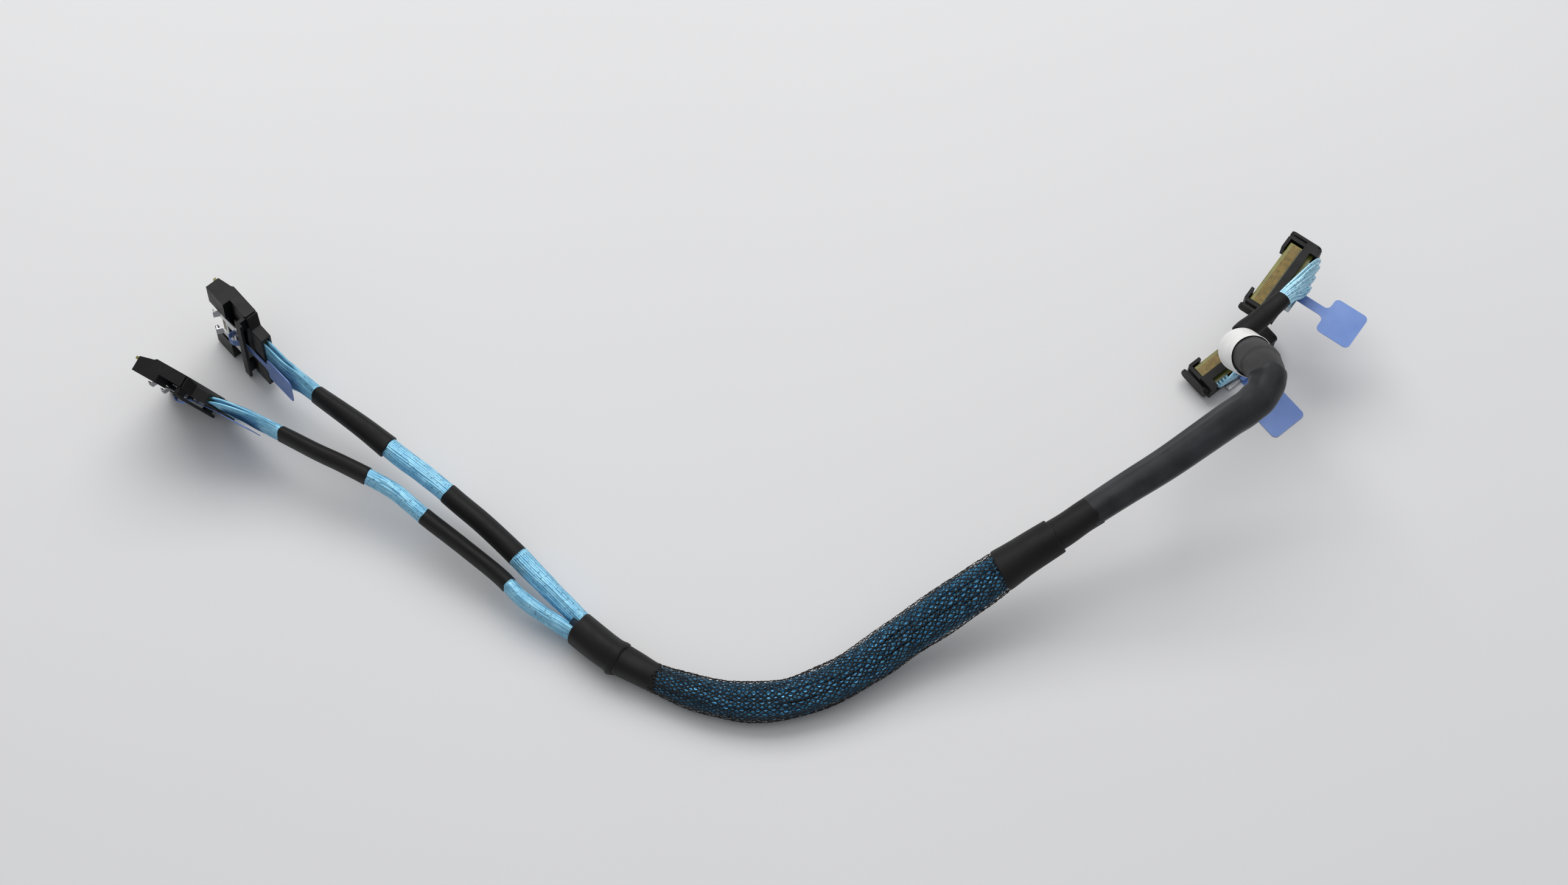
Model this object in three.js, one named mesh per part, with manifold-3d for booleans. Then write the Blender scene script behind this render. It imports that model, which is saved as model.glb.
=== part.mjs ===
import * as THREE from 'three';
import { mergeVertices } from 'three/addons/utils/BufferGeometryUtils.js';
import Module from 'manifold-3d';

// A storage cable with two slim edge plugs on its left and two right-angle card plugs on its right.
// All sizes are in millimetres, +Z is up, and the cable lies on the plane z = 0.

const wasm = await Module();
wasm.setup();

// Driving sizes shared by every plug
const GAP = 0.3;
const PAD_RISE = 0.06;
const FILM = 0.25;
const STEEL = 0.35;

// Slim plug: x runs from the nose to the cable, y from the latch side to the far side, z is its width
const SLIM_WIDTH = 34;
const SLIM_NOSE_LENGTH = 8;
const SLIM_NOSE_FRONT = 4.6;
const SLIM_BODY_THICKNESS = 6.3;
const SLIM_LATCH_STEP = 2.6;
const SLIM_BODY_END = 15.5;
const SLIM_COVER_END = 29.8;
const SLIM_COVER_WALL = 0.6;
const SLIM_HOOD_END = 23;
const SLIM_HOOD_WALL = 0.8;
const SLIM_SKIN = 0.9;
const SLIM_MOUTH_DEPTH = 6.8;
const SLIM_CARD_THICKNESS = 0.9;
const SLIM_CARD_Y = 3.85;
const SLIM_CARD_REACH = 1.2;
const SLIM_CARD_END = 22.5;
const SLIM_WIRE_Y = 4.7;
const SLIM_LATCH_WIDTH = 14;
const SLIM_GUIDE = (SLIM_WIDTH - SLIM_LATCH_WIDTH) / 2 - 1;
const SLIM_BRIDGE_DEPTH = 2.4;
const SLIM_BRIDGE_THICKNESS = 0.9;

// Card plug: x runs along its width, y is the mating direction, z is up from the middle of its card
const EDGE_BOX_WIDTH = 26.2;
const EDGE_BOX_DEPTH = 5;
const EDGE_BOX_TOP = 2.8;
const EDGE_BOTTOM = 3.4;
const EDGE_WALL = 1.2;
const EDGE_SHROUD_DEPTH = 5.8;
const EDGE_SHROUD_TOP = 1.4;
const EDGE_FRONT_WALL = 1;
const EDGE_FRONT_OPENING = 16.4;
const EDGE_CARD_SIDE = 0.6;
const EDGE_CARD_WIDTH = EDGE_BOX_WIDTH - 2 * (EDGE_WALL + EDGE_CARD_SIDE);
const EDGE_CARD_THICKNESS = 1;
const EDGE_CARD_FRONT = 4.4;
const EDGE_CARD_BACK = 3.6;
const EDGE_WING_THICKNESS = 0.9;
const EDGE_WING_REACH = 6;
const EDGE_LATCH_WIDTH = 13;

// Contact pads of the card plugs, spread over the card with a bare margin at each end
const PAD_COUNT = 37;
const PAD_MARGIN = 0.5;
const PAD_PITCH = (EDGE_CARD_WIDTH - 2 * PAD_MARGIN) / (PAD_COUNT - 1);
const PAD_WIDTH = 0.6 * PAD_PITCH;

// Film pull tabs, alike on all four plugs
const TAB_NECK = 3;
const TAB_PLATE_WIDTH = 12.4;
const TAB_PLATE_LENGTH = 11.2;
const TAB_CORNER = 1.6;

// Cable sections: the rear leg sleeves' width, and the braid's bore as a share of its width
const LEG_SLEEVE = 6.2;
const MESH_BORE = 0.9;

// Where each plug lies: its place on the floor plan, its heading in degrees and its lean
const SLIM_PLUGS = [
  { name: 'slim_plug_1', x: -172.4, y: 33.5, z: 0.65, heading: -48, lean: -5 },
  { name: 'slim_plug_2', x: -186.0, y: 16.7, z: 0.05, heading: -30.5, lean: 14 },
];
const EDGE_PLUGS = [
  { name: 'edge_plug_1', x: 148.1, y: 41.0, z: 28.5, heading: 54 },
  { name: 'edge_plug_2', x: 135.4, y: 26.1, z: 4.7, heading: 39 },
];

// How far the layout moves to put the origin under the middle of the cable's plan
const LAYOUT_SHIFT = new THREE.Vector3(8.53, 15.6, -0.02);

const material = (color, roughness, metalness = 0) =>
  new THREE.MeshStandardMaterial({ color, roughness, metalness });
const BLACK_PLASTIC = material(0x2b2b2d, 0.55);
const STEEL_FINISH = material(0xb9bcc0, 0.3, 1);
const CARD_GREEN = material(0x7d8238, 0.45);
const BLUE_FILM = material(0x6f93d4, 0.35);
const BLUE_WIRE = material(0x66b4dc, 0.35, 0.2);
const BLACK_SLEEVE = material(0x1f1f21, 0.75);
const BLACK_MESH = material(0x16181b, 0.6);
const GREY_TAPE = material(0x4a4a4c, 0.9);
const WHITE_LABEL = material(0xf2f2f2, 0.6);

// Solids from three.js geometry, joined and cut
function solid(geometry) {
  geometry.deleteAttribute('normal');
  geometry.deleteAttribute('uv');
  const merged = mergeVertices(geometry, 1e-4);
  return new wasm.Manifold(new wasm.Mesh({
    numProp: 3,
    vertProperties: new Float32Array(merged.attributes.position.array),
    triVerts: new Uint32Array(merged.index.array),
  }));
}

function mesh(name, shape, finish) {
  const data = shape.getMesh();
  const geometry = new THREE.BufferGeometry();
  geometry.setAttribute('position', new THREE.BufferAttribute(new Float32Array(data.vertProperties), 3));
  geometry.setIndex(new THREE.BufferAttribute(new Uint32Array(data.triVerts), 1));
  geometry.computeVertexNormals();
  const result = new THREE.Mesh(geometry, finish);
  result.name = name;
  return result;
}

function block(x0, x1, y0, y1, z0, z1) {
  const geometry = new THREE.BoxGeometry(x1 - x0, y1 - y0, z1 - z0);
  geometry.translate((x0 + x1) / 2, (y0 + y1) / 2, (z0 + z1) / 2);
  return solid(geometry);
}

function outline(points) {
  return new THREE.Shape(points.map(([x, y]) => new THREE.Vector2(x, y)));
}

// An outline in the XY plane, extruded along Z
function prism(shape, z0, z1, curveSegments = 4) {
  const geometry = new THREE.ExtrudeGeometry(shape, { depth: z1 - z0, bevelEnabled: false, curveSegments });
  geometry.translate(0, 0, z0);
  return solid(geometry);
}

// The outline of a bent strip: its centre line, thickened to both sides with mitred corners
function stripOutline(centre, thickness) {
  const points = centre.map(([x, y]) => new THREE.Vector2(x, y));
  const normalAt = (a, b) => new THREE.Vector2(a.y - b.y, b.x - a.x).normalize();
  const left = [];
  const right = [];
  points.forEach((point, i) => {
    const before = i > 0 ? normalAt(points[i - 1], point) : normalAt(point, points[1]);
    const after = i < points.length - 1 ? normalAt(point, points[i + 1]) : before;
    const mitre = before.clone().add(after).normalize();
    const reach = thickness / 2 / Math.max(mitre.dot(before), 0.5);
    left.push(point.clone().addScaledVector(mitre, reach));
    right.unshift(point.clone().addScaledVector(mitre, -reach));
  });
  return new THREE.Shape([...left, ...right]);
}

function roundedRect(x0, x1, y0, y1, r) {
  const shape = new THREE.Shape();
  shape.moveTo(x0 + r, y0);
  shape.lineTo(x1 - r, y0);
  shape.absarc(x1 - r, y0 + r, r, -Math.PI / 2, 0);
  shape.lineTo(x1, y1 - r);
  shape.absarc(x1 - r, y1 - r, r, 0, Math.PI / 2);
  shape.lineTo(x0 + r, y1);
  shape.absarc(x0 + r, y1 - r, r, Math.PI / 2, Math.PI);
  shape.lineTo(x0, y0 + r);
  shape.absarc(x0 + r, y0 + r, r, Math.PI, 1.5 * Math.PI);
  return shape;
}

// The flat pattern of a pull tab: a neck along +x that flares into a square plate with round corners
function tabPattern(neckStart, plateStart, plateEnd) {
  const neck = TAB_NECK / 2;
  const half = TAB_PLATE_WIDTH / 2;
  const r = TAB_CORNER;
  const shape = new THREE.Shape();
  shape.moveTo(neckStart, -neck);
  shape.lineTo(plateStart - r, -neck);
  shape.absarc(plateStart - r, -neck - r, r, Math.PI / 2, 0, true);
  shape.lineTo(plateStart, -half + r);
  shape.absarc(plateStart + r, -half + r, r, Math.PI, 1.5 * Math.PI);
  shape.lineTo(plateEnd - r, -half);
  shape.absarc(plateEnd - r, -half + r, r, -Math.PI / 2, 0);
  shape.lineTo(plateEnd, half - r);
  shape.absarc(plateEnd - r, half - r, r, 0, Math.PI / 2);
  shape.lineTo(plateStart + r, half);
  shape.absarc(plateStart + r, half - r, r, Math.PI / 2, Math.PI);
  shape.lineTo(plateStart, neck + r);
  shape.absarc(plateStart - r, neck + r, r, 0, -Math.PI / 2, true);
  shape.lineTo(neckStart, neck);
  return shape;
}

// Slim plug housing: a tapered nose with an open mouth, a stepped body and a bridge over the film
function slimHousing() {
  const profile = outline([
    [0, 0], [SLIM_NOSE_LENGTH, 0], [SLIM_NOSE_LENGTH, SLIM_LATCH_STEP], [SLIM_BODY_END, SLIM_LATCH_STEP],
    [SLIM_BODY_END, SLIM_BODY_THICKNESS], [5.2, SLIM_BODY_THICKNESS], [4.4, SLIM_BODY_THICKNESS - 0.6],
    [3.4, SLIM_NOSE_FRONT + 0.9], [0, SLIM_NOSE_FRONT],
  ]);
  const slotLow = SLIM_CARD_Y - SLIM_CARD_THICKNESS / 2 - GAP;
  const slotHigh = SLIM_CARD_Y + SLIM_CARD_THICKNESS / 2 + GAP;
  const slotEnd = SLIM_SKIN - GAP;
  const mouth = block(-1, SLIM_MOUTH_DEPTH, SLIM_SKIN, slotLow + 0.1, 3, SLIM_WIDTH - 3);
  const slot = block(-1, SLIM_BODY_END + 1, slotLow, slotHigh, slotEnd, SLIM_WIDTH - slotEnd);
  const farMouth = block(-1, 3, slotHigh - 0.1, SLIM_BODY_THICKNESS, 3, SLIM_WIDTH - 3);
  const window = block(-1, SLIM_NOSE_LENGTH + 1, -1, SLIM_SKIN + 0.1, SLIM_GUIDE, SLIM_WIDTH - SLIM_GUIDE);
  const bridgeStart = SLIM_BODY_END - 1.1;
  const bridgeEnd = bridgeStart + SLIM_BRIDGE_DEPTH;
  const bridgeLow = -0.6;
  const bridgeTop = bridgeLow + SLIM_BRIDGE_THICKNESS;
  const legs = [1, SLIM_WIDTH - 7].map((z) =>
    block(bridgeStart, SLIM_BODY_END, bridgeLow, SLIM_LATCH_STEP + 0.2, z, z + 6));
  const bridge = block(bridgeStart, bridgeEnd, bridgeLow, bridgeTop, 1, SLIM_WIDTH - 1);
  return prism(profile, 0, SLIM_WIDTH)
    .subtract(mouth)
    .subtract(slot)
    .subtract(farMouth)
    .subtract(window)
    .add(bridge)
    .add(legs[0])
    .add(legs[1]);
}

// Rear hood: a cover plate over the far side with a box around the soldered ends of the wires
function slimCover() {
  const plateY = SLIM_BODY_THICKNESS + GAP;
  const plate = block(5.6, SLIM_COVER_END, plateY, plateY + SLIM_COVER_WALL, 0, SLIM_WIDTH);
  const hoodStart = SLIM_BODY_END + GAP;
  const hoodLow = SLIM_LATCH_STEP - 0.2;
  const hood = block(hoodStart, SLIM_HOOD_END, hoodLow, plateY + 0.2, 0, SLIM_WIDTH);
  const inside = block(hoodStart - 1, SLIM_HOOD_END + 1, hoodLow + SLIM_HOOD_WALL - GAP, plateY,
    SLIM_HOOD_WALL, SLIM_WIDTH - SLIM_HOOD_WALL);
  const rim = [0, SLIM_WIDTH - SLIM_HOOD_WALL].map((z) =>
    block(SLIM_HOOD_END - 1, SLIM_COVER_END, plateY - 2, plateY + 0.2, z, z + SLIM_HOOD_WALL));
  return hood.subtract(inside).add(plate).add(rim[0]).add(rim[1]);
}

// Paddle card of a slim plug, standing in the grooves of the nose and the body
function slimCard() {
  const low = SLIM_CARD_Y - SLIM_CARD_THICKNESS / 2;
  return block(-SLIM_CARD_REACH, SLIM_CARD_END, low, low + SLIM_CARD_THICKNESS, SLIM_SKIN, SLIM_WIDTH - SLIM_SKIN);
}

// Latch spring: two hooked arms over the nose, a bar for the film and a hairpin foot on the body
function slimLatch() {
  const z0 = (SLIM_WIDTH - SLIM_LATCH_WIDTH) / 2;
  const z1 = z0 + SLIM_LATCH_WIDTH;
  const footY = SLIM_LATCH_STEP - GAP - STEEL / 2;
  const profile = stripOutline(
    [[2.2, -0.5], [3.1, -1.1], [3.9, 0.5], [12.9, 0.5], [13.5, 0.9], [13.5, 1.7], [12.9, footY], [9.2, footY]], STEEL);
  const slot = block(1, 6.6, -3, 1.2, z0 + 3.2, z1 - 3.2);
  const front = block(7.6, 10.2, -3, 1.2, z0 + 4, z1 - 4);
  const rear = block(11.4, 14.4, -3, 1.75, z0 + 4, z1 - 4);
  return prism(profile, z0, z1).subtract(slot).subtract(front).subtract(rear);
}

// Pull tab of a slim plug: the film wraps the latch bar, runs under the bridge and ends in a plate
function slimTab() {
  const plateStart = 25.2;
  const plateEnd = plateStart + TAB_PLATE_LENGTH;
  const bend = stripOutline(
    [[11.9, 1.2], [10.2, 1.2], [9.6, 0.9], [9.2, 0.2], [9.4, -0.9], [10.4, -1.5], [11.8, -1.2], [13.4, 0.3],
      [14.2, 0.95], [17, 1.2], [22, 1.4], [plateEnd, 1.8]], FILM);
  const z = SLIM_WIDTH / 2;
  const film = prism(bend, z - TAB_PLATE_WIDTH, z + TAB_PLATE_WIDTH);
  const pattern = prism(tabPattern(5, plateStart, plateEnd), -6, 6).rotate([90, 0, 0]).translate([0, 0, z]);
  return film.intersect(pattern);
}

function slimPlug({ name, x, y, z, heading, lean }) {
  const parts = new THREE.Group();
  parts.add(mesh(`${name}_housing`, slimHousing(), BLACK_PLASTIC));
  parts.add(mesh(`${name}_rear_cover`, slimCover(), BLACK_PLASTIC));
  parts.add(mesh(`${name}_paddle_card`, slimCard(), CARD_GREEN));
  parts.add(mesh(`${name}_latch_spring`, slimLatch(), STEEL_FINISH));
  parts.add(mesh(`${name}_pull_tab`, slimTab(), BLUE_FILM));
  parts.rotation.set(THREE.MathUtils.degToRad(lean), 0, 0);
  const place = new THREE.Group();
  place.add(parts);
  place.position.set(x, y, z);
  place.rotation.z = THREE.MathUtils.degToRad(heading);
  return place;
}

// Card plug housing: a cable box, a shroud around the exposed card and a wing outside each end
function edgeHousing() {
  const half = EDGE_BOX_WIDTH / 2;
  const inner = half - EDGE_WALL;
  const floorTop = -EDGE_BOTTOM + EDGE_WALL;
  const box = block(-half, half, -EDGE_BOX_DEPTH, 0, -EDGE_BOTTOM, EDGE_BOX_TOP);
  const shroud = prism(outline([
    [-half, -1], [half, -1], [half, EDGE_SHROUD_DEPTH - 0.9], [half - 0.9, EDGE_SHROUD_DEPTH],
    [0.9 - half, EDGE_SHROUD_DEPTH], [-half, EDGE_SHROUD_DEPTH - 0.9],
  ]), -EDGE_BOTTOM, EDGE_SHROUD_TOP);
  const well = block(-inner, inner, 0, EDGE_SHROUD_DEPTH - EDGE_FRONT_WALL, floorTop, EDGE_SHROUD_TOP + 1);
  const opening = block(-EDGE_FRONT_OPENING / 2, EDGE_FRONT_OPENING / 2, 3.7, EDGE_SHROUD_DEPTH + 1,
    -EDGE_BOTTOM - 1, EDGE_SHROUD_TOP + 1);
  const cavity = block(-inner, inner, 0.8 - EDGE_BOX_DEPTH, -0.8, floorTop, EDGE_BOX_TOP - 0.9);
  const cableWindow = block(1.4 - inner, inner - 1.4, -EDGE_BOX_DEPTH - 1, -2.4, -1.4, EDGE_BOX_TOP + 1);
  const slotHalf = EDGE_CARD_WIDTH / 2 + GAP;
  const slotRise = EDGE_CARD_THICKNESS / 2 + GAP;
  const cardSlot = block(-slotHalf, slotHalf, -1, 0.2, -slotRise, slotRise);
  let housing = box.add(shroud).subtract(well).subtract(opening).subtract(cavity)
    .subtract(cableWindow).subtract(cardSlot);
  for (const side of [-1, 1]) {
    const wingInner = half + 0.8;
    const wing = roundedRect(-4.4, EDGE_WING_REACH, -2.6, 1.1, 1.4);
    const plate = prism(wing, 0, EDGE_WING_THICKNESS, 3)
      .rotate([90, 0, 90])
      .translate([side > 0 ? wingInner : -wingInner - EDGE_WING_THICKNESS, 0, 0]);
    const web = side > 0 ? block(half - 0.2, wingInner + 0.2, -4.2, -2.4, -2.4, 0.9)
      : block(-wingInner - 0.2, 0.2 - half, -4.2, -2.4, -2.4, 0.9);
    housing = housing.add(plate).add(web);
  }
  return housing;
}

// Paddle card of a card plug: a bevelled front edge and a row of raised contact pads on each face
function edgeCard() {
  const half = EDGE_CARD_THICKNESS / 2;
  const bevel = 0.25;
  const side = outline([
    [-EDGE_CARD_BACK, -half], [EDGE_CARD_FRONT - bevel, -half], [EDGE_CARD_FRONT, bevel - half],
    [EDGE_CARD_FRONT, half - bevel], [EDGE_CARD_FRONT - bevel, half], [-EDGE_CARD_BACK, half],
  ]);
  let card = prism(side, -EDGE_CARD_WIDTH / 2, EDGE_CARD_WIDTH / 2).rotate([90, 0, 90]);
  const padStart = 0.7;
  const padEnd = EDGE_CARD_FRONT - 1.1;
  const pads = [];
  for (let i = 0; i < PAD_COUNT; i += 1) {
    const x = (i - (PAD_COUNT - 1) / 2) * PAD_PITCH;
    const rise = half + PAD_RISE;
    pads.push(block(x - PAD_WIDTH / 2, x + PAD_WIDTH / 2, padStart, padEnd, half - 0.1, rise));
    pads.push(block(x - PAD_WIDTH / 2, x + PAD_WIDTH / 2, padStart, padEnd, -rise, 0.1 - half));
  }
  return wasm.Manifold.union([card, ...pads]);
}

// Latch spring under a card plug: two arms with turned-up hooks and a rear bar for the film
function edgeLatch() {
  const top = -EDGE_BOTTOM - GAP;
  const half = EDGE_LATCH_WIDTH / 2;
  const plate = block(-half, half, -6.8, 4.5, top - STEEL, top);
  const hooks = [-1, 1].map((side) =>
    block(side > 0 ? half - 3 : -half, side > 0 ? half : 3 - half, 4.15, 4.5, top - STEEL, top + 1));
  const slot = block(3 - half, half - 3, -1, 5, top - 1, top + 1);
  const window = block(-2.4, 2.4, -6.1, -4.9, top - 1, top + 1);
  return plate.subtract(slot).subtract(window).add(hooks[0]).add(hooks[1]);
}

// Pull tab of a card plug: the film wraps the rear bar of the latch and runs out flat behind
function edgeTab() {
  const latchMiddle = -EDGE_BOTTOM - GAP - STEEL / 2;
  const offset = STEEL / 2 + GAP + FILM / 2 + 0.02;
  const low = latchMiddle - offset;
  const high = latchMiddle + offset;
  const plateStart = 16;
  const plateEnd = plateStart + TAB_PLATE_LENGTH;
  const bend = stripOutline(
    [[7.4, high], [6.1, high], [5.68, high - 0.3], [5.68, low + 0.3], [6.1, low], [plateEnd, low]], FILM);
  const film = prism(bend, -TAB_PLATE_WIDTH, TAB_PLATE_WIDTH).rotate([90, 0, 0]);
  const pattern = prism(tabPattern(4, plateStart, plateEnd), -9, 9);
  return film.intersect(pattern).rotate([0, 0, -90]);
}

function edgePlug({ name, x, y, z, heading }) {
  const parts = new THREE.Group();
  parts.add(mesh(`${name}_housing`, edgeHousing(), BLACK_PLASTIC));
  parts.add(mesh(`${name}_paddle_card`, edgeCard(), CARD_GREEN));
  parts.add(mesh(`${name}_latch_spring`, edgeLatch(), STEEL_FINISH));
  parts.add(mesh(`${name}_pull_tab`, edgeTab(), BLUE_FILM));
  parts.position.set(x, y, z);
  parts.rotation.z = THREE.MathUtils.degToRad(heading);
  return parts;
}

// A point given in a slim plug's own axes, and the plug's upward direction, in the layout's axes
function fromPlug({ x, y, z, heading, lean }, along, across, up) {
  const point = new THREE.Vector3(along, across, up);
  point.applyAxisAngle(new THREE.Vector3(1, 0, 0), THREE.MathUtils.degToRad(lean));
  point.applyAxisAngle(new THREE.Vector3(0, 0, 1), THREE.MathUtils.degToRad(heading));
  return [point.x + x, point.y + y, point.z + z];
}

function plugUp(plug) {
  return new THREE.Vector3(...fromPlug({ ...plug, x: 0, y: 0, z: 0 }, 0, 0, 1));
}

// A smooth route through hand-chosen points
const POINT_STEPS = 20;
function route(points, up = new THREE.Vector3(0, 0, 1)) {
  const curve = new THREE.CatmullRomCurve3(points.map((p) => new THREE.Vector3(...p)), false, 'centripetal');
  curve.arcLengthDivisions = (points.length - 1) * POINT_STEPS;
  curve.up = up;
  return curve;
}

// One stretch of a route, with a width and a height at each end that its section follows
class Stretch extends THREE.Curve {
  constructor(base, from, to, startSize, endSize, startUp = base.up) {
    super();
    this.base = base;
    this.from = from;
    this.to = to;
    this.startSize = startSize;
    this.endSize = endSize;
    this.startUp = startUp;
  }

  getPoint(t, target = new THREE.Vector3()) {
    return this.base.getPointAt(THREE.MathUtils.lerp(this.from, this.to, t), target);
  }

  computeFrenetFrames(steps) {
    const tangents = [];
    const normals = [];
    const binormals = [];
    for (let i = 0; i <= steps; i += 1) {
      const t = i / steps;
      const tangent = this.base.getTangentAt(THREE.MathUtils.lerp(this.from, this.to, t));
      const up = new THREE.Vector3().lerpVectors(this.startUp, this.base.up, t);
      const side = new THREE.Vector3().crossVectors(up, tangent).normalize();
      const rise = new THREE.Vector3().crossVectors(tangent, side);
      tangents.push(tangent);
      normals.push(side.multiplyScalar(THREE.MathUtils.lerp(this.startSize[0], this.endSize[0], t) / 2));
      binormals.push(rise.multiplyScalar(THREE.MathUtils.lerp(this.startSize[1], this.endSize[1], t) / 2));
    }
    return { tangents, normals, binormals };
  }
}

// A tube or a flat ribbon between two of a route's points, with a gap before its neighbour
function cable(name, base, fromPoint, toPoint, startSize, endSize, finish, options = {}) {
  const { sides = 10, steps = toPoint - fromPoint, hollow = 0, flat = false, startUp = base.up } = options;
  const lengths = base.getLengths();
  const total = lengths[lengths.length - 1];
  const from = lengths[Math.round(fromPoint * POINT_STEPS)] + GAP / 2;
  const to = lengths[Math.round(toPoint * POINT_STEPS)] - GAP / 2;
  const section = flat ? roundedRect(-1, 1, -1, 1, 0.3) : new THREE.Shape();
  if (!flat) {
    for (let i = 0; i < sides; i += 1) {
      const angle = (i / sides) * 2 * Math.PI;
      section[i === 0 ? 'moveTo' : 'lineTo'](Math.cos(angle), Math.sin(angle));
    }
  }
  if (hollow > 0) {
    const hole = new THREE.Path();
    for (let i = 0; i < sides; i += 1) {
      const angle = (-i / sides) * 2 * Math.PI;
      hole[i === 0 ? 'moveTo' : 'lineTo'](hollow * Math.cos(angle), hollow * Math.sin(angle));
    }
    section.holes.push(hole);
  }
  const extrudePath = new Stretch(base, from / total, to / total, startSize, endSize, startUp);
  const geometry = new THREE.ExtrudeGeometry(section, { steps, extrudePath, bevelEnabled: false, curveSegments: 1 });
  return mesh(name, solid(geometry), finish);
}

// Routes of the two left legs, from the plugs to the split sleeve
const LEG_A = route([
  fromPlug(SLIM_PLUGS[0], SLIM_CARD_END + GAP / 2, SLIM_WIRE_Y, SLIM_WIDTH / 2),
  fromPlug(SLIM_PLUGS[0], SLIM_COVER_END, SLIM_WIRE_Y, SLIM_WIDTH / 2),
  [-143.6, 12.6, 17], [-138, 8.3, 16.5], [-131.2, 3.4, 16],
  [-123.2, -2.4, 15.5], [-113.8, -9.8, 14.6], [-108.5, -13.8, 14], [-101.3, -19.3, 13], [-95.8, -24.0, 12.3],
  [-88, -30.4, 11.3], [-79.3, -38.4, 10], [-74.6, -43.2, 9.2], [-67.2, -50.6, 8.2], [-60.3, -57.4, 7.2],
]);
const LEG_B = route([
  fromPlug(SLIM_PLUGS[1], SLIM_CARD_END + GAP / 2, SLIM_WIRE_Y, SLIM_WIDTH / 2),
  fromPlug(SLIM_PLUGS[1], SLIM_COVER_END, SLIM_WIRE_Y, SLIM_WIDTH / 2),
  [-153.8, -1.2, 17.2], [-147.9, -4.2, 17], [-137.6, -9.6, 16.5],
  [-129.7, -13.2, 16], [-120.2, -18, 15.3], [-114, -21.6, 14.6], [-108.5, -26.2, 13.9], [-104.3, -29.6, 13.2],
  [-94, -37.4, 12], [-82, -47.0, 10.4], [-77, -52.2, 9.5], [-70.3, -57.0, 8.0], [-63.4, -61.3, 6.8],
]);

// Route of the trunk: split sleeve, braided sleeve, bands, main tube, elbow and wrap label
const TRUNK_ROUTE = route([
  [-61.6, -59.6, 7.0], [-53.5, -66.2, 6.7], [-48.7, -69.6, 6.4], [-42.8, -72.8, 6.1], [-36.6, -76.0, 5.8],
  [-23.5, -80.6, 5.5], [-10.4, -82.8, 5.6], [1.6, -82.0, 6.0], [15.1, -77.2, 7.2],
  [24.8, -71.7, 8.8], [33.9, -65.6, 10.9], [44.8, -58.9, 13.8], [55.6, -52.2, 17.0],
  [62.7, -47.8, 19.3], [71, -42.8, 22.0], [79.4, -38.0, 24.6], [87.4, -33.2, 27],
  [98.4, -27.0, 31], [109.7, -20.9, 35.2], [120.0, -14.9, 40], [127.2, -10.8, 44],
  [132.4, -8.2, 47.4], [136.2, -4.9, 50.2], [137.6, -0.8, 51.2], [136.8, 3.4, 50.0],
  [135.4, 7.2, 46.6], [134.4, 10.2, 42.2], [133.9, 13.2, 37.4], [133.6, 16.2, 32.4],
]);

// Branch from the label up to the upper card plug, and branch down to the lower one
const BRANCH_UP = route([
  [134.0, 21.0, 31.8], [135.4, 22.6, 31.6], [137.7, 24.3, 32.3], [140.5, 26.4, 33.6], [143.6, 28.8, 34.8],
  [147.0, 31.7, 35.4],
]);
const BRANCH_DOWN = route([
  [133.7, 14.1, 30.1], [133.9, 15.4, 28.2], [134.8, 17.6, 24.6], [136.2, 19.6, 20], [137.8, 20.9, 15.8],
  [139.0, 21.6, 12.4],
], new THREE.Vector3(0.777, 0.629, 0));

const layout = new THREE.Group();
layout.position.copy(LAYOUT_SHIFT);
SLIM_PLUGS.forEach((plug) => layout.add(slimPlug(plug)));
EDGE_PLUGS.forEach((plug) => layout.add(edgePlug(plug)));

// Left legs: flat wire bundles, two black sleeves each, then bare wires into the split sleeve
layout.add(cable('leg_a_wires_plug', LEG_A, 0, 3, [2.6, 22], [4.8, 9], BLUE_WIRE,
  { startUp: plugUp(SLIM_PLUGS[0]) }));
layout.add(cable('leg_a_sleeve_front', LEG_A, 3, 6, [5.0, 9.4], [7.2, 7.6], BLACK_SLEEVE));
layout.add(cable('leg_a_wires_middle', LEG_A, 6, 9, [6.0, 7.0], [6.0, 6.6], BLUE_WIRE));
layout.add(cable('leg_a_sleeve_rear', LEG_A, 9, 12, [LEG_SLEEVE, 7.4], [LEG_SLEEVE + 0.4, 7], BLACK_SLEEVE));
layout.add(cable('leg_a_wires_split', LEG_A, 12, 14, [6, 6.4], [4.6, 8.4], BLUE_WIRE));
layout.add(cable('leg_b_wires_plug', LEG_B, 0, 3, [2.6, 22], [4.0, 8.4], BLUE_WIRE,
  { startUp: plugUp(SLIM_PLUGS[1]) }));
layout.add(cable('leg_b_sleeve_front', LEG_B, 3, 6, [4.2, 8.6], [5.4, 7.2], BLACK_SLEEVE));
layout.add(cable('leg_b_wires_middle', LEG_B, 6, 9, [4.8, 6.6], [4.8, 6.2], BLUE_WIRE));
layout.add(cable('leg_b_sleeve_rear', LEG_B, 9, 12, [5, 6.8], [5, 6.6], BLACK_SLEEVE));
layout.add(cable('leg_b_wires_split', LEG_B, 12, 14, [4.8, 6], [4.4, 8], BLUE_WIRE));

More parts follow.
